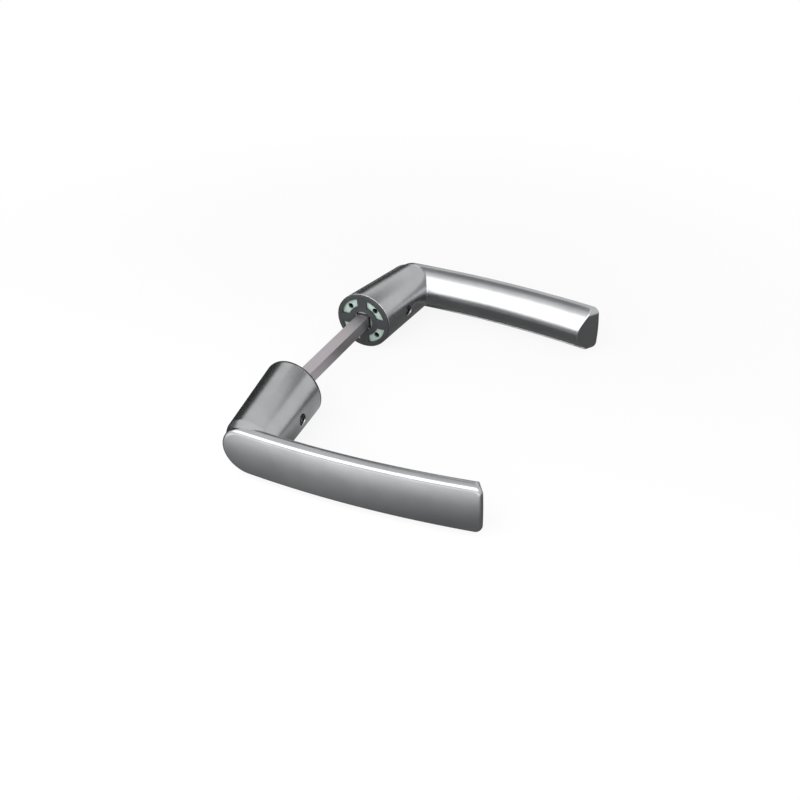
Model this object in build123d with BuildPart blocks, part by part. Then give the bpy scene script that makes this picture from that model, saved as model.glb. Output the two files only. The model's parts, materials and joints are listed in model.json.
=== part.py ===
# A pair of mirrored lever handles on one square through spindle.
# Frame: origin at the spindle's centre, +X along the levers, +Y along the spindle to the
# back lever, +Z up. The back lever is modelled and the front one is its mirror image.

import os
from math import asin, cos, degrees, radians, sin

from build123d import *

# Spindle
spindle_side = 7.0
spindle_reach = 27.4
spindle_edge_radius = 0.4
spindle_end_chamfer = 1.0

# Neck: a round stem that leans towards the grip and tapers, faster past its knuckle, to the grip's height
neck_gap = 71.2
neck_base_radius = 16.35
neck_knuckle_step = 1.5
neck_knuckle_setback = 7.0
neck_tip_setback = 2.8
neck_lean = 7.4
lever_projection = 53.9

# Grip: D section, bent in plan so that its free end comes back towards the door
lever_length = 122.8
grip_height = 25.4
grip_depth = 13.6
grip_land = 3.0
grip_shoulder_depth = 5.6
grip_shoulder_drop = 0.95
grip_flank_depth = 9.0
grip_flank_drop = 4.1
grip_bend_radius = 535.0
grip_crest_x = 22.0
face_crown = 0.8
face_edge_radius = 1.8
end_slant = 36.0
end_corner_radius = 4.0

# End cap: ring, cross web and hub, with a window between each two arms of the web
window_count = 4
cap_thickness = 1.2
cap_rim_step = 0.1
cap_edge_chamfer = 0.3
cap_spigot_depth = 2.4
cap_spigot_wall = 0.6
window_outer_radius = 13.6
window_inner_radius = 9.0
web_width = 5.5
hub_opening_radius = 5.9

# Socket insert
flange_thickness = 6.0
hub_radius = 8.0
socket_floor = 1.5
socket_spare_depth = 2.6
socket_clearance = 0.1
mouth_clearance = 0.8
mouth_depth = 3.0
insert_hole_radius = 1.6
insert_hole_circle_radius = 10.9
insert_hole_depth = 4.5

# Grub screw
screw_radius = 3.0
screw_length = 12.0
screw_setback = 6.7
screw_end_chamfer = 0.6
screw_key_width = 3.0
screw_key_depth = 3.5

# Clearances
fit_clearance = 0.05
screw_relief = 0.2

# Material left beyond an outline before it is trimmed
trim_stock = 3.0

# Positions along the spindle, counted from the middle of the pair
face_y = neck_gap / 2
casting_y = face_y + cap_thickness
crest_y = face_y + lever_projection
neck_tip_y = crest_y - neck_tip_setback
knuckle_y = crest_y - neck_knuckle_setback
spindle_end_y = face_y + spindle_reach
screw_y = spindle_end_y - screw_setback

# Grip outline
half_height = grip_height / 2
bend_centre = Vector(grip_crest_x, crest_y - grip_bend_radius, 0)
crown_radius = (half_height**2 + face_crown**2) / (2 * face_crown)
through = 2 * lever_length

# Insert and cap seats
flange_radius = window_outer_radius
spigot_inner_radius = flange_radius + fit_clearance
spigot_outer_radius = spigot_inner_radius + cap_spigot_wall
flange_end_y = casting_y + flange_thickness
socket_end_y = spindle_end_y + socket_spare_depth
hub_end_y = socket_end_y + socket_floor
seats = (
    (spigot_outer_radius, casting_y + cap_spigot_depth),
    (flange_radius, flange_end_y),
    (hub_radius, hub_end_y),
)
socket_side = spindle_side + 2 * socket_clearance
mouth_side = spindle_side + 2 * mouth_clearance
screw_tip_x = spindle_side / 2 + fit_clearance


def bend_angle(x):
    """Turn of the grip's bend at a distance x from the spindle axis, in radians."""
    return asin((x - grip_crest_x) / grip_bend_radius)


def inward(x):
    """Direction from the outer face towards the door at x."""
    return Vector(-sin(bend_angle(x)), -cos(bend_angle(x)), 0)


def face_point(x, depth=0):
    """Point under the outer face's edge line at x, at a depth behind it."""
    return bend_centre + inward(x) * (depth - grip_bend_radius)


def grip_plane(x):
    """Plane across the grip at x, its local x running in from the outer face and y up."""
    return Plane(origin=face_point(x), x_dir=inward(x), z_dir=inward(x).cross(Vector(0, 0, 1)))


def across_spindle(y):
    """Plane square to the spindle at y, its local x along +X and y up."""
    return Plane.XZ.offset(-y)


grip_end_x = lever_length + trim_stock
stock_start_x = neck_lean - half_height - trim_stock
stock_sweep = degrees(bend_angle(grip_end_x) - bend_angle(stock_start_x))
bend_axis = Axis(bend_centre, (0, 0, -1))
knuckle_slope = neck_knuckle_step / (neck_knuckle_setback - neck_tip_setback)
neck_sections = (
    (casting_y, neck_base_radius),
    (knuckle_y, half_height + neck_knuckle_step),
    (crest_y, half_height - knuckle_slope * neck_tip_setback),
)
slant_direction = Vector(-sin(radians(end_slant)), -cos(radians(end_slant)), 0)

# Grip: bent D bar, round over the neck and slanted at its free end, with stock on its outer face
with BuildPart() as grip:
    with BuildSketch(grip_plane(stock_start_x)):
        with BuildLine():
            shoulder_z = half_height - grip_shoulder_drop
            flank_z = half_height - grip_flank_drop
            Spline(
                (grip_land, half_height),
                (grip_shoulder_depth, shoulder_z),
                (grip_flank_depth, flank_z),
                (grip_depth, 0),
                (grip_flank_depth, -flank_z),
                (grip_shoulder_depth, -shoulder_z),
                (grip_land, -half_height),
                tangents=((1, 0), (-1, 0)),
            )
            Polyline(
                (grip_land, -half_height),
                (-trim_stock, -half_height),
                (-trim_stock, half_height),
                (grip_land, half_height),
            )
        make_face()
    revolve(axis=bend_axis, revolution_arc=stock_sweep)
    with BuildSketch(across_spindle(crest_y)):
        with Locations((neck_lean, 0)):
            Circle(half_height)
            Rectangle(through, grip_height + 2 * trim_stock, align=(Align.MIN, Align.CENTER))
    extrude(amount=through, both=True, mode=Mode.INTERSECT)
    with BuildSketch(across_spindle(face_point(lever_length).Y)) as free_end:
        with Locations((lever_length, 0)):
            Rectangle(through, grip_height, align=(Align.MAX, Align.CENTER))
        fillet(free_end.vertices().sort_by(Axis.X)[-2:], end_corner_radius)
    extrude(amount=through, both=True, dir=slant_direction, mode=Mode.INTERSECT)

# Stock outside the crowned outer face
with BuildPart() as face_stock:
    with BuildSketch(grip_plane(stock_start_x)):
        with BuildLine():
            edge_z = half_height + trim_stock
            edge_depth = crown_radius - face_crown - (crown_radius**2 - edge_z**2) ** 0.5
            RadiusArc((edge_depth, -edge_z), (edge_depth, edge_z), crown_radius)
            Polyline(
                (edge_depth, edge_z),
                (-2 * trim_stock, edge_z),
                (-2 * trim_stock, -edge_z),
                (edge_depth, -edge_z),
            )
        make_face()
    revolve(axis=bend_axis, revolution_arc=stock_sweep)

# Lever: neck and grip in one casting, bored for the insert, the cap's spigot and the screw
with BuildPart() as lever_back:
    for section_y, section_radius in neck_sections:
        section_x = neck_lean * (section_y - casting_y) / (neck_tip_y - casting_y)
        with BuildSketch(across_spindle(section_y)):
            with Locations(Location((section_x, 0, 0), (0, 0, 180))):
                Circle(section_radius)
    loft(ruled=True)
    add(grip.part)
    add(face_stock.part, mode=Mode.SUBTRACT)
    fillet(lever_back.faces().sort_by(Axis.Y)[-1].edges(), face_edge_radius)
    for seat_radius, seat_end_y in seats:
        with BuildSketch(across_spindle(casting_y)):
            Circle(seat_radius + fit_clearance)
        extrude(amount=casting_y - seat_end_y - fit_clearance, mode=Mode.SUBTRACT)
    with BuildSketch(Plane.YZ):
        with Locations((screw_y, 0)):
            Circle(screw_radius + fit_clearance)
    extrude(amount=through, mode=Mode.SUBTRACT)

# Socket insert: flange in the neck's end and a hub with the square socket
with BuildPart() as socket_insert_back:
    with BuildSketch(across_spindle(casting_y)):
        Circle(flange_radius)
    extrude(amount=casting_y - flange_end_y)
    with BuildSketch(across_spindle(casting_y)):
        Circle(hub_radius)
    extrude(amount=casting_y - hub_end_y)
    with BuildSketch(across_spindle(casting_y)):
        Rectangle(socket_side, socket_side)
    extrude(amount=casting_y - socket_end_y, mode=Mode.SUBTRACT)
    with BuildSketch(across_spindle(casting_y)):
        Rectangle(mouth_side, mouth_side)
    extrude(amount=-mouth_depth, mode=Mode.SUBTRACT)
    with BuildSketch(across_spindle(casting_y)):
        with PolarLocations(insert_hole_circle_radius, window_count, start_angle=180 / window_count):
            Circle(insert_hole_radius)
    extrude(amount=-insert_hole_depth, mode=Mode.SUBTRACT)
    with BuildSketch(Plane.YZ):
        with Locations((screw_y, 0)):
            Circle(screw_radius + screw_relief)
    extrude(amount=through, mode=Mode.SUBTRACT)

# End cap: ring, cross web and hub over the neck's end, with a spigot around the insert
with BuildPart() as end_cap_back:
    with BuildSketch(across_spindle(face_y)):
        Circle(neck_base_radius - cap_rim_step)
    extrude(amount=-cap_thickness)
    chamfer(end_cap_back.faces().sort_by(Axis.Y)[0].edges(), cap_edge_chamfer)
    with BuildSketch(across_spindle(casting_y)):
        Circle(spigot_outer_radius)
        Circle(spigot_inner_radius, mode=Mode.SUBTRACT)
    extrude(amount=-cap_spigot_depth)
    with BuildSketch(across_spindle(face_y)):
        Circle(window_outer_radius)
        Circle(window_inner_radius, mode=Mode.SUBTRACT)
        with PolarLocations(0, window_count):
            Rectangle(through, web_width, align=(Align.MIN, Align.CENTER), mode=Mode.SUBTRACT)
        Circle(hub_opening_radius)
    extrude(amount=-cap_thickness, mode=Mode.SUBTRACT)

# Grub screw: flat point on the spindle, hexagon socket at the outer end
with BuildPart() as grub_screw_back:
    with BuildSketch(Plane.YZ.offset(screw_tip_x)):
        with Locations((screw_y, 0)):
            Circle(screw_radius)
    extrude(amount=screw_length)
    chamfer(grub_screw_back.edges().filter_by(GeomType.CIRCLE), screw_end_chamfer)
    with BuildSketch(Plane.YZ.offset(screw_tip_x + screw_length)):
        with Locations((screw_y, 0)):
            RegularPolygon(screw_key_width / 2, 6, major_radius=False)
    extrude(amount=-screw_key_depth, mode=Mode.SUBTRACT)

# Spindle: square bar through both necks
with BuildPart() as spindle:
    Box(spindle_side, 2 * spindle_end_y, spindle_side)
    chamfer(spindle.faces().filter_by(Axis.Y).edges(), spindle_end_chamfer)
    fillet(spindle.edges().filter_by(Axis.Y), spindle_edge_radius)

# The front lever and its fittings mirror the back ones
with BuildPart() as lever_front:
    mirror(lever_back.part, about=Plane.XZ)
with BuildPart() as socket_insert_front:
    mirror(socket_insert_back.part, about=Plane.XZ)
with BuildPart() as end_cap_front:
    mirror(end_cap_back.part, about=Plane.XZ)
with BuildPart() as grub_screw_front:
    mirror(grub_screw_back.part, about=Plane.XZ)

pieces = {
    "spindle": spindle,
    "lever_front": lever_front,
    "lever_back": lever_back,
    "socket_insert_front": socket_insert_front,
    "socket_insert_back": socket_insert_back,
    "end_cap_front": end_cap_front,
    "end_cap_back": end_cap_back,
    "grub_screw_front": grub_screw_front,
    "grub_screw_back": grub_screw_back,
}
os.makedirs("parts", exist_ok=True)
for name, piece in pieces.items():
    piece.part.label = name
    export_step(piece.part, f"parts/{name}.step")
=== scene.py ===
"""Finishes, studio and camera for a pair of lever handles on a square spindle."""

import json

import bmesh
import bpy
from mathutils import Euler, Matrix, Vector

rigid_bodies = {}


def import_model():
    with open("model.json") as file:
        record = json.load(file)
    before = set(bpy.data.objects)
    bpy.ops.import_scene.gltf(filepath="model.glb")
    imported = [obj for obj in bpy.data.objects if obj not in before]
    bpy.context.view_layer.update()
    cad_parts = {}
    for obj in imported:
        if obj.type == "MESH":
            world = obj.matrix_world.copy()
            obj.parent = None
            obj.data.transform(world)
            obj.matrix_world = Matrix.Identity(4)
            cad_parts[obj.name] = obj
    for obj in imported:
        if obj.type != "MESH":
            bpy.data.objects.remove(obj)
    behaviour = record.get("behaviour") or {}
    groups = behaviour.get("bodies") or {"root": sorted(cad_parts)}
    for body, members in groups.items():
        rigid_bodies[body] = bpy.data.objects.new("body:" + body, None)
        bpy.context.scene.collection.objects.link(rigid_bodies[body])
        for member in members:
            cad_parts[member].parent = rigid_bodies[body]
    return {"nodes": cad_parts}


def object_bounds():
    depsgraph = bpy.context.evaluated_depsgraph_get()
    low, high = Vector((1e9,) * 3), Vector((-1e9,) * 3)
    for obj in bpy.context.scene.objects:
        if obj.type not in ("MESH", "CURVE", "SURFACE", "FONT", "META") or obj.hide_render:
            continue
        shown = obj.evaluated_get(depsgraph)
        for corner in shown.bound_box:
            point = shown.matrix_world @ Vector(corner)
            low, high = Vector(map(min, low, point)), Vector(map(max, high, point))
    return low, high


bl_info = {
    "name": "Lever handle pair",
    "version": (1, 0, 0),
    "blender": (4, 5, 0),
    "location": "View3D > Sidebar > Handle",
    "description": "Dresses a pair of lever handles and sets a studio around them",
    "category": "Object",
}

for leftover in list(bpy.data.objects):
    bpy.data.objects.remove(leftover)
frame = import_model()
cad_low, cad_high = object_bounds()

# Parts of a noise's range over which its marks and its soft clouds show
MARKS = (0.3, 0.7)
CLOUDS = (0.35, 0.65)

# Roughness of each finish, from its smoothest spot to its dullest
LEVER_ROUGHNESS = (0.23, 0.27)
SPINDLE_ROUGHNESS = (0.38, 0.5)
INSERT_ROUGHNESS = (0.42, 0.58)
CAP_ROUGHNESS = (0.5, 0.65)
SCREW_ROUGHNESS = (0.3, 0.45)

# Floor: its side, and the share of plain white that is seen from near the handle to far off
FLOOR_SIDE = 8
FLOOR_REACH = (0.12, 0.4)
FLOOR_WHITE = (0.88, 1)

# Cards that paint reflections, seen only in the metal and lighting nothing: width, depth, place of the
# middle and the point they face
CARD_LIFT = 0.0001
BACK_FLAG = (0.13, 0.11, (0.02, 0.102, 0.115), (0.02, 0.096, 0))
SIDE_FLAG = (0.7, 0.27, (-0.42, 0.30, 0.105), (0, 0, 0.03))
SIDE_FOOT = (0.46, 0.38, (-0.26, 0.10, cad_low.z + 2 * CARD_LIFT), (-0.26, 0.10, 1))
TABLE_CARD = (0.5, 0.36, (0.04, -0.01, cad_low.z + CARD_LIFT), (0.04, -0.01, 1))

# Painted shadow of the pair on the floor, seen only in reflections: shades of the table card from the
# front to the back, each with its place along the spindle
TABLE_REFLECTED_SHADOW = (
    (-0.17, 1.0), (-0.146, 0.9), (-0.125, 0.4), (-0.107, 0.18), (-0.089, 0.08), (-0.062, 0.06),
    (-0.029, 0.22), (0.001, 0.22), (0.025, 0.06), (0.13, 0.06),
)


class HandleFinish(bpy.types.PropertyGroup):
    """Colours of the handle's pieces."""

    lever: bpy.props.FloatVectorProperty(
        name="Lever", description="Satin metal of both levers",
        subtype="COLOR", size=3, min=0, max=1, default=(0.45, 0.46, 0.465))
    lever_shade: bpy.props.FloatVectorProperty(
        name="Lever shade", description="Slightly darker clouds in the levers' metal",
        subtype="COLOR", size=3, min=0, max=1, default=(0.40, 0.41, 0.42))
    # Painted highlight: a lighter colour laid along the levers' edges where they catch the light
    lever_edge_highlight: bpy.props.FloatVectorProperty(
        name="Lever edge", description="Metal rubbed bright along the edges",
        subtype="COLOR", size=3, min=0, max=1, default=(0.62, 0.63, 0.635))
    spindle: bpy.props.FloatVectorProperty(
        name="Spindle", description="Drawn steel of the square bar",
        subtype="COLOR", size=3, min=0, max=1, default=(0.56, 0.525, 0.55))
    spindle_streak: bpy.props.FloatVectorProperty(
        name="Spindle streak", description="Darker drawing marks along the bar",
        subtype="COLOR", size=3, min=0, max=1, default=(0.49, 0.45, 0.455))
    insert: bpy.props.FloatVectorProperty(
        name="Insert", description="Pale green die casting in the necks",
        subtype="COLOR", size=3, min=0, max=1, default=(0.46, 0.585, 0.52))
    insert_shade: bpy.props.FloatVectorProperty(
        name="Insert shade", description="Duller patches on the die casting",
        subtype="COLOR", size=3, min=0, max=1, default=(0.38, 0.49, 0.44))
    # Painted shade laid into the inserts' holes and gaps
    insert_hollow_shade: bpy.props.FloatVectorProperty(
        name="Insert hollow", description="Unlit metal in the holes of the die casting",
        subtype="COLOR", size=3, min=0, max=1, default=(0.01, 0.012, 0.012))
    cap: bpy.props.FloatVectorProperty(
        name="Cap", description="Dark moulded end caps",
        subtype="COLOR", size=3, min=0, max=1, default=(0.04, 0.043, 0.045))
    cap_shade: bpy.props.FloatVectorProperty(
        name="Cap shade", description="Flow marks in the moulded caps",
        subtype="COLOR", size=3, min=0, max=1, default=(0.032, 0.034, 0.036))
    screw: bpy.props.FloatVectorProperty(
        name="Screw", description="Blackened steel of the grub screws",
        subtype="COLOR", size=3, min=0, max=1, default=(0.16, 0.16, 0.165))
    screw_edge: bpy.props.FloatVectorProperty(
        name="Screw edge", description="Bare steel on the screws' worn edges",
        subtype="COLOR", size=3, min=0, max=1, default=(0.42, 0.42, 0.42))


class HandleGrain(bpy.types.PropertyGroup):
    """Sizes of the marks on the surfaces."""

    ground_line: bpy.props.FloatProperty(
        name="Ground line", description="Width of the fine grinding lines on the levers",
        unit="LENGTH", min=0.00001, default=0.00018)
    casting_cloud: bpy.props.FloatProperty(
        name="Casting cloud", description="Size of the soft clouds in the levers' sheen",
        unit="LENGTH", min=0.0001, default=0.018)
    # Width of the edge strip: on the levers it carries a painted highlight, on the grub screws worn bare
    # steel
    edge_wear_and_highlight: bpy.props.FloatProperty(
        name="Worn edge", description="Width of the rubbed strip along an edge",
        unit="LENGTH", min=0.00001, default=0.0009)
    drawing_mark: bpy.props.FloatProperty(
        name="Drawing mark", description="Width of the drawing marks on the spindle",
        unit="LENGTH", min=0.00001, default=0.0005)
    spindle_blotch: bpy.props.FloatProperty(
        name="Spindle blotch", description="Size of the dull blotches on the spindle",
        unit="LENGTH", min=0.0001, default=0.006)
    casting_grain: bpy.props.FloatProperty(
        name="Casting grain", description="Size of the grain on the inserts",
        unit="LENGTH", min=0.00001, default=0.0006)
    casting_patch: bpy.props.FloatProperty(
        name="Casting patch", description="Size of the duller patches on the inserts",
        unit="LENGTH", min=0.0001, default=0.004)
    # Reach of the painted shade in the inserts' holes
    hollow_shade_reach: bpy.props.FloatProperty(
        name="Hollow reach", description="How far from a wall an insert's hole counts as dark",
        unit="LENGTH", min=0.0001, default=0.006)
    moulded_grain: bpy.props.FloatProperty(
        name="Moulded grain", description="Size of the grain on the end caps",
        unit="LENGTH", min=0.00001, default=0.0003)
    moulded_flow: bpy.props.FloatProperty(
        name="Moulded flow", description="Size of the flow marks on the end caps",
        unit="LENGTH", min=0.0001, default=0.008)
    oxide_speck: bpy.props.FloatProperty(
        name="Oxide speck", description="Size of the specks on the blackened screws",
        unit="LENGTH", min=0.00001, default=0.0008)


class HandleStudio(bpy.types.PropertyGroup):
    """Camera, lamps and floor around the handle."""

    camera_place: bpy.props.FloatVectorProperty(
        name="Camera place", description="Where the camera stands",
        subtype="XYZ", unit="LENGTH", size=3, default=(0.22705, -0.33225, 0.25694))
    camera_turn: bpy.props.FloatVectorProperty(
        name="Camera turn", description="How the camera is turned",
        subtype="EULER", unit="ROTATION", size=3, default=(0.942937, 0.045628, 0.477464))
    camera_lens: bpy.props.FloatProperty(
        name="Camera lens", description="Focal length on a sensor 36 mm wide",
        unit="CAMERA", min=1, default=40.063)
    key_place: bpy.props.FloatVectorProperty(
        name="Key place", description="Where the middle of the large soft lamp hangs",
        subtype="XYZ", unit="LENGTH", size=3, default=(-0.08, -0.434, 0.2485))
    key_facing: bpy.props.FloatVectorProperty(
        name="Key facing", description="Direction in which the large soft lamp shines",
        subtype="DIRECTION", size=3, default=(0, 0.153, -0.988))
    key_size: bpy.props.FloatVectorProperty(
        name="Key size", description="Width and depth of the large soft lamp",
        unit="LENGTH", size=2, min=0.01, default=(1.2, 0.646))
    key_power: bpy.props.FloatProperty(
        name="Key power", description="Power of the large soft lamp overhead",
        unit="POWER", min=0, default=5.8)
    # The flags glow and paint grey and dark reflections in the metal; they light nothing and cast no
    # shadow
    back_flag: bpy.props.FloatProperty(
        name="Back flag", description="Brightness of the grey card over the back grip",
        subtype="FACTOR", min=0, max=1, default=0.35)
    side_flag: bpy.props.FloatProperty(
        name="Side flag", description="Brightness of the dark cards on the left",
        subtype="FACTOR", min=0, max=1, default=0.02)
    # The table card's glow paints the shadowed floor under the pair into the metal's reflections
    table_glow: bpy.props.FloatProperty(
        name="Table glow", description="Brightness of the graded card on the floor",
        min=0, default=2.4)
    fill: bpy.props.FloatProperty(
        name="Fill", description="Brightness of the room around the handle",
        subtype="FACTOR", min=0, max=1, default=0.45)
    floor: bpy.props.FloatVectorProperty(
        name="Floor", description="Pale floor",
        subtype="COLOR", size=3, min=0, max=1, default=(0.86, 0.86, 0.86))


def dress(material, *names):
    """Gives the named nodes of the model one finish."""
    for name in names:
        slots = frame["nodes"][name].material_slots
        if not slots:
            raise RuntimeError(f"{name} has no material slot")
        for slot in slots:
            slot.material = material


def start_finish(name):
    """A new finish: its material, node tree, shader and object coordinates."""
    material = bpy.data.materials.new(name)
    material.use_nodes = True
    tree = material.node_tree
    place = tree.nodes.new("ShaderNodeTexCoord")
    return material, tree, tree.nodes["Principled BSDF"], place.outputs["Object"]


def add_noise(tree, place, size, detail=3.0, stretch=(1, 1, 1)):
    """Noise with marks of a size in metres, drawn out where stretch is below 1."""
    mapping = tree.nodes.new("ShaderNodeMapping")
    mapping.inputs["Scale"].default_value = stretch
    noise = tree.nodes.new("ShaderNodeTexNoise")
    noise.inputs["Scale"].default_value = 1 / size
    noise.inputs["Detail"].default_value = detail
    tree.links.new(place, mapping.inputs["Vector"])
    tree.links.new(mapping.outputs["Vector"], noise.inputs["Vector"])
    return noise.outputs["Fac"]


def add_range(tree, value, old, new):
    """Maps a value from the old range to the new one and holds it there."""
    node = tree.nodes.new("ShaderNodeMapRange")
    node.inputs["From Min"].default_value, node.inputs["From Max"].default_value = old
    node.inputs["To Min"].default_value, node.inputs["To Max"].default_value = new
    tree.links.new(value, node.inputs["Value"])
    return node.outputs["Result"]


def add_mix(tree, factor, first, second):
    """Colour that goes from first to second with factor; each is a colour or an output."""
    node = tree.nodes.new("ShaderNodeMix")
    node.data_type = "RGBA"
    tree.links.new(factor, node.inputs[0])
    for socket, colour in ((node.inputs[6], first), (node.inputs[7], second)):
        if isinstance(colour, bpy.types.NodeSocket):
            tree.links.new(colour, socket)
        else:
            socket.default_value = (*colour, 1)
    return node.outputs[2]


def add_bump(tree, shader, height, distance, strength, normal=None):
    """Small relief in metres on a surface, over a normal where one is given."""
    bump = tree.nodes.new("ShaderNodeBump")
    bump.inputs["Distance"].default_value = distance
    bump.inputs["Strength"].default_value = strength
    tree.links.new(height, bump.inputs["Height"])
    if normal:
        tree.links.new(normal, bump.inputs["Normal"])
    tree.links.new(bump.outputs["Normal"], shader.inputs["Normal"])


def add_hollow_shade(tree, reach):
    """A painted-shade mask from ambient occlusion: 1 deep in holes and gaps and 0 on open ground."""
    open_sky = tree.nodes.new("ShaderNodeAmbientOcclusion")
    open_sky.samples = 8
    open_sky.inputs["Distance"].default_value = reach
    open_to_shut = (0.55, 0.2)
    return add_range(tree, open_sky.outputs["AO"], open_to_shut, (0, 1))


def add_edges(tree, radius):
    """Rounded normal of the edges, and a mask that is 1 on them and 0 on flat ground."""
    rounded = tree.nodes.new("ShaderNodeBevel")
    rounded.samples = 6
    rounded.inputs["Radius"].default_value = radius
    surface = tree.nodes.new("ShaderNodeNewGeometry")
    compare = tree.nodes.new("ShaderNodeVectorMath")
    compare.operation = "DOT_PRODUCT"
    tree.links.new(rounded.outputs["Normal"], compare.inputs[0])
    tree.links.new(surface.outputs["Normal"], compare.inputs[1])
    flat_to_edge = (0.995, 0.90)
    return rounded.outputs["Normal"], add_range(tree, compare.outputs["Value"], flat_to_edge, (0, 1))


class HANDLE_OT_levers(bpy.types.Operator):
    """Gives both levers a satin metal, finely ground along the grips, with a painted highlight along the
    edges
    """

    bl_idname = "handle.levers"
    bl_label = "Levers"

    def execute(self, context):
        finish, grain = context.scene.handle_finish, context.scene.handle_grain
        material, tree, shader, place = start_finish("satin_metal")
        shader.inputs["Metallic"].default_value = 1
        cloud = add_noise(tree, place, grain.casting_cloud)
        lines = add_noise(tree, place, grain.ground_line, stretch=(0.04, 1, 1))
        # Painted highlight: the edge mask mixes a lighter colour along every edge of the levers
        normal, edge = add_edges(tree, grain.edge_wear_and_highlight)
        clouds = add_range(tree, cloud, CLOUDS, (0, 1))
        clouded = add_mix(tree, clouds, finish.lever, finish.lever_shade)
        tree.links.new(add_mix(tree, edge, clouded, finish.lever_edge_highlight), shader.inputs["Base Color"])
        tree.links.new(add_range(tree, lines, MARKS, LEVER_ROUGHNESS), shader.inputs["Roughness"])
        add_bump(tree, shader, lines, distance=0.000001, strength=0.2, normal=normal)
        dress(material, "lever_front", "lever_back")
        return {"FINISHED"}


class HANDLE_OT_spindle(bpy.types.Operator):
    """Gives the square spindle drawn steel with marks along its length"""

    bl_idname = "handle.spindle"
    bl_label = "Spindle"

    def execute(self, context):
        finish, grain = context.scene.handle_finish, context.scene.handle_grain
        material, tree, shader, place = start_finish("drawn_steel")
        shader.inputs["Metallic"].default_value = 1
        marks = add_noise(tree, place, grain.drawing_mark, stretch=(1, 0.02, 1))
        blotch = add_noise(tree, place, grain.spindle_blotch, stretch=(1, 0.3, 1))
        streaks = add_range(tree, marks, (0.4, 0.75), (0, 0.6))
        colour = add_mix(tree, streaks, finish.spindle, finish.spindle_streak)
        tree.links.new(colour, shader.inputs["Base Color"])
        tree.links.new(add_range(tree, blotch, MARKS, SPINDLE_ROUGHNESS), shader.inputs["Roughness"])
        add_bump(tree, shader, marks, distance=0.00001, strength=0.3)
        dress(material, "spindle")
        return {"FINISHED"}


class HANDLE_OT_inserts(bpy.types.Operator):
    """Gives the socket inserts a pale green die casting with a dull grain, and painted shade in their
    holes
    """

    bl_idname = "handle.inserts"
    bl_label = "Socket inserts"

    def execute(self, context):
        finish, grain = context.scene.handle_finish, context.scene.handle_grain
        material, tree, shader, place = start_finish("pale_green_casting")
        shader.inputs["Metallic"].default_value = 0.15
        speckle = add_noise(tree, place, grain.casting_grain, detail=4)
        patch = add_noise(tree, place, grain.casting_patch)
        patches = add_range(tree, patch, (0.4, 0.7), (0, 1))
        colour = add_mix(tree, patches, finish.insert, finish.insert_shade)
        # Painted shade: ambient occlusion darkens the inserts' holes and gaps towards a near-black colour
        hollow_shade = add_hollow_shade(tree, grain.hollow_shade_reach)
        tree.links.new(add_mix(tree, hollow_shade, colour, finish.insert_hollow_shade), shader.inputs["Base Color"])
        tree.links.new(add_range(tree, speckle, MARKS, INSERT_ROUGHNESS), shader.inputs["Roughness"])
        add_bump(tree, shader, speckle, distance=0.00003, strength=0.4)
        dress(material, "socket_insert_front", "socket_insert_back")
        return {"FINISHED"}


class HANDLE_OT_caps(bpy.types.Operator):
    """Gives the end caps a dark moulded plastic with a fine matt grain"""

    bl_idname = "handle.caps"
    bl_label = "End caps"

    def execute(self, context):
        finish, grain = context.scene.handle_finish, context.scene.handle_grain
        material, tree, shader, place = start_finish("moulded_plastic")
        grit = add_noise(tree, place, grain.moulded_grain, detail=4)
        flow = add_noise(tree, place, grain.moulded_flow)
        colour = add_mix(tree, add_range(tree, flow, CLOUDS, (0, 1)), finish.cap, finish.cap_shade)
        tree.links.new(colour, shader.inputs["Base Color"])
        tree.links.new(add_range(tree, grit, MARKS, CAP_ROUGHNESS), shader.inputs["Roughness"])
        add_bump(tree, shader, grit, distance=0.00002, strength=0.5)
        dress(material, "end_cap_front", "end_cap_back")
        return {"FINISHED"}


class HANDLE_OT_screws(bpy.types.Operator):
    """Gives the grub screws blackened steel with bare metal on the worn edges"""

    bl_idname = "handle.screws"
    bl_label = "Grub screws"

    def execute(self, context):
        finish, grain = context.scene.handle_finish, context.scene.handle_grain
        material, tree, shader, place = start_finish("blackened_steel")
        shader.inputs["Metallic"].default_value = 1
        oxide = add_noise(tree, place, grain.oxide_speck, detail=4)
        normal, edge = add_edges(tree, grain.edge_wear_and_highlight / 3)
        tree.links.new(add_mix(tree, edge, finish.screw, finish.screw_edge), shader.inputs["Base Color"])
        tree.links.new(add_range(tree, oxide, MARKS, SCREW_ROUGHNESS), shader.inputs["Roughness"])
        add_bump(tree, shader, oxide, distance=0.00001, strength=0.4, normal=normal)
        dress(material, "grub_screw_front", "grub_screw_back")
        return {"FINISHED"}


def add_sheet(name, width, depth, place, facing):
    """A flat sheet of the studio, its middle at place and its front turned to facing."""
    mesh = bpy.data.meshes.new(name)
    shape = bmesh.new()
    bmesh.ops.create_grid(shape, x_segments=1, y_segments=1, size=0.5)
    bmesh.ops.scale(shape, vec=(width, depth, 1), verts=shape.verts)
    turn = (Vector(facing) - Vector(place)).to_track_quat("Z", "Y").to_matrix()
    bmesh.ops.rotate(shape, matrix=turn, verts=shape.verts)
    bmesh.ops.translate(shape, vec=place, verts=shape.verts)
    shape.to_mesh(mesh)
    shape.free()
    sheet = bpy.data.objects.new(name, mesh)
    bpy.context.scene.collection.objects.link(sheet)
    return sheet


def add_card(name, shape, material):
    """A card that paints a reflection: the metal sees it, the camera, the lighting and the shadows don't.
    """
    card = add_sheet(name, *shape)
    card.data.materials.append(material)
    card.visible_camera = False
    card.visible_diffuse = False
    card.visible_shadow = False
    card.visible_transmission = False


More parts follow.
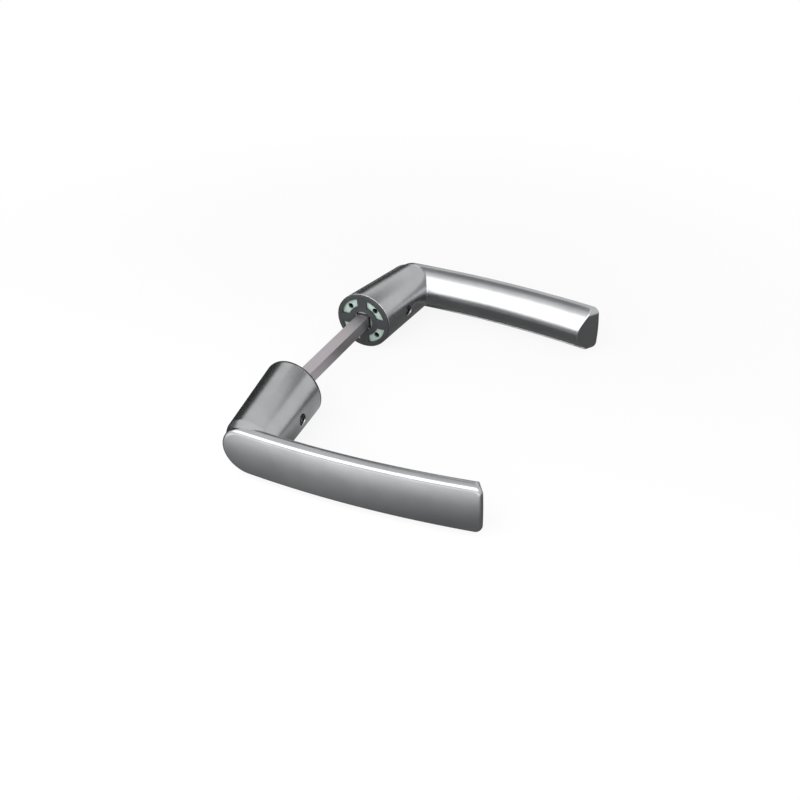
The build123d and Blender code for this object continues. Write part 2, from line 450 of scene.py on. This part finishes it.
def add_glow(name):
    """A new material that only glows: its tree and its emission shader."""
    material = bpy.data.materials.new(name)
    material.use_nodes = True
    tree = material.node_tree
    tree.nodes.remove(tree.nodes["Principled BSDF"])
    glow = tree.nodes.new("ShaderNodeEmission")
    tree.links.new(glow.outputs["Emission"], tree.nodes["Material Output"].inputs["Surface"])
    return material, tree, glow


def add_seen_rays(tree):
    """1 for what the camera sees straight, in metal or through glass, and 0 for lighting."""
    path = tree.nodes.new("ShaderNodeLightPath")
    total = path.outputs["Is Camera Ray"]
    for ray in ("Is Glossy Ray", "Is Transmission Ray"):
        node = tree.nodes.new("ShaderNodeMath")
        node.operation = "MAXIMUM"
        tree.links.new(total, node.inputs[0])
        tree.links.new(path.outputs[ray], node.inputs[1])
        total = node.outputs["Value"]
    return total


class HANDLE_OT_stage(bpy.types.Operator):
    """Sets the floor, the room, the lamp, the cards that paint reflections and the camera"""

    bl_idname = "handle.stage"
    bl_label = "Stage"

    def execute(self, context):
        studio = context.scene.handle_studio
        context.scene.view_settings.view_transform = "Standard"
        self.add_floor(studio)
        self.add_room(context, studio)
        self.add_key(context, studio)
        self.add_flags(studio)
        self.add_table(studio)
        self.add_camera(context, studio)
        return {"FINISHED"}

    def add_floor(self, studio):
        floor = add_sheet("floor", FLOOR_SIDE, FLOOR_SIDE, (0, 0, cad_low.z), (0, 0, 1))
        material, tree, glow = add_glow("pale_floor")
        matt = tree.nodes.new("ShaderNodeBsdfDiffuse")
        matt.inputs["Color"].default_value = (*studio.floor, 1)
        place = tree.nodes.new("ShaderNodeTexCoord")
        reach = tree.nodes.new("ShaderNodeVectorMath")
        reach.operation = "LENGTH"
        tree.links.new(place.outputs["Object"], reach.inputs[0])
        share = tree.nodes.new("ShaderNodeMath")
        share.operation = "MULTIPLY"
        tree.links.new(add_seen_rays(tree), share.inputs[0])
        tree.links.new(add_range(tree, reach.outputs["Value"], FLOOR_REACH, FLOOR_WHITE), share.inputs[1])
        mix = tree.nodes.new("ShaderNodeMixShader")
        tree.links.new(share.outputs["Value"], mix.inputs["Fac"])
        tree.links.new(matt.outputs["BSDF"], mix.inputs[1])
        tree.links.new(glow.outputs["Emission"], mix.inputs[2])
        tree.links.new(mix.outputs["Shader"], tree.nodes["Material Output"].inputs["Surface"])
        floor.data.materials.append(material)

    def add_room(self, context, studio):
        room = bpy.data.worlds.new("room")
        room.use_nodes = True
        context.scene.world = room
        tree = room.node_tree
        lit = tree.nodes["Background"]
        lit.inputs["Color"].default_value = (1, 1, 1, 1)
        lit.inputs["Strength"].default_value = studio.fill
        seen = tree.nodes.new("ShaderNodeBackground")
        seen.inputs["Color"].default_value = (1, 1, 1, 1)
        mix = tree.nodes.new("ShaderNodeMixShader")
        tree.links.new(add_seen_rays(tree), mix.inputs["Fac"])
        tree.links.new(lit.outputs["Background"], mix.inputs[1])
        tree.links.new(seen.outputs["Background"], mix.inputs[2])
        tree.links.new(mix.outputs["Shader"], tree.nodes["World Output"].inputs["Surface"])

    def add_key(self, context, studio):
        lamp = bpy.data.lights.new("key", "AREA")
        lamp.shape = "RECTANGLE"
        lamp.size, lamp.size_y = studio.key_size
        lamp.energy = studio.key_power
        key = bpy.data.objects.new("key", lamp)
        key.location = studio.key_place
        key.rotation_euler = Vector(studio.key_facing).to_track_quat("-Z", "Y").to_euler()
        key.visible_camera = False
        context.scene.collection.objects.link(key)

    def add_flags(self, studio):
        # Painted reflections: a grey card over the back grip and dark cards on the left, seen only in the
        # metal
        grey, _, glow = add_glow("flag_grey")
        glow.inputs["Color"].default_value = (*[studio.back_flag] * 3, 1)
        add_card("back_flag", BACK_FLAG, grey)
        black, _, glow = add_glow("flag_black")
        glow.inputs["Color"].default_value = (*[studio.side_flag] * 3, 1)
        add_card("side_flag", SIDE_FLAG, black)
        add_card("side_foot", SIDE_FOOT, black)

    def add_table(self, studio):
        # Painted shadow: a glowing card on the floor, dark under the pair and white in front and behind,
        # seen only in the metal
        material, tree, glow = add_glow("table_painted_shadow")
        glow.inputs["Strength"].default_value = studio.table_glow
        place = tree.nodes.new("ShaderNodeTexCoord")
        split = tree.nodes.new("ShaderNodeSeparateXYZ")
        ramp = tree.nodes.new("ShaderNodeValToRGB")
        front, back = TABLE_REFLECTED_SHADOW[0][0], TABLE_REFLECTED_SHADOW[-1][0]
        tree.links.new(place.outputs["Object"], split.inputs["Vector"])
        tree.links.new(add_range(tree, split.outputs["Y"], (front, back), (0, 1)), ramp.inputs["Fac"])
        stops = ramp.color_ramp.elements
        for spot, _ in TABLE_REFLECTED_SHADOW[1:-1]:
            stops.new((spot - front) / (back - front))
        for stop, (_, shade) in zip(stops, TABLE_REFLECTED_SHADOW):
            stop.color = (shade, shade, shade, 1)
        tree.links.new(ramp.outputs["Color"], glow.inputs["Color"])
        add_card("table_card", TABLE_CARD, material)

    def add_camera(self, context, studio):
        lens = bpy.data.cameras.new("camera")
        lens.sensor_width = 36
        lens.lens = studio.camera_lens
        lens.clip_start = 0.01
        camera = bpy.data.objects.new("camera", lens)
        turn = Euler(studio.camera_turn).to_matrix().to_4x4()
        camera.matrix_world = Matrix.Translation(studio.camera_place) @ turn
        context.scene.collection.objects.link(camera)
        context.scene.camera = camera


OPERATORS = (
    HANDLE_OT_levers, HANDLE_OT_spindle, HANDLE_OT_inserts, HANDLE_OT_caps, HANDLE_OT_screws,
    HANDLE_OT_stage,
)
GROUPS = {"handle_finish": HandleFinish, "handle_grain": HandleGrain, "handle_studio": HandleStudio}


class HANDLE_PT_panel(bpy.types.Panel):
    """Sizes, colours and steps of the handle pair"""

    bl_label = "Lever handle pair"
    bl_space_type = "VIEW_3D"
    bl_region_type = "UI"
    bl_category = "Handle"

    def draw(self, context):
        for name in GROUPS:
            group = getattr(context.scene, name)
            box = self.layout.box()
            for key in group.__annotations__:
                box.prop(group, key)
        for operator in OPERATORS:
            self.layout.operator(operator.bl_idname)


def register():
    for name, group in GROUPS.items():
        bpy.utils.register_class(group)
        setattr(bpy.types.Scene, name, bpy.props.PointerProperty(type=group))
    for entry in (*OPERATORS, HANDLE_PT_panel):
        bpy.utils.register_class(entry)


def unregister():
    for entry in (HANDLE_PT_panel, *reversed(OPERATORS)):
        bpy.utils.unregister_class(entry)
    for name, group in GROUPS.items():
        delattr(bpy.types.Scene, name)
        bpy.utils.unregister_class(group)


def main():
    register()
    bpy.ops.handle.levers()
    bpy.ops.handle.spindle()
    bpy.ops.handle.inserts()
    bpy.ops.handle.caps()
    bpy.ops.handle.screws()
    bpy.ops.handle.stage()


if __name__ == "__main__":
    main()
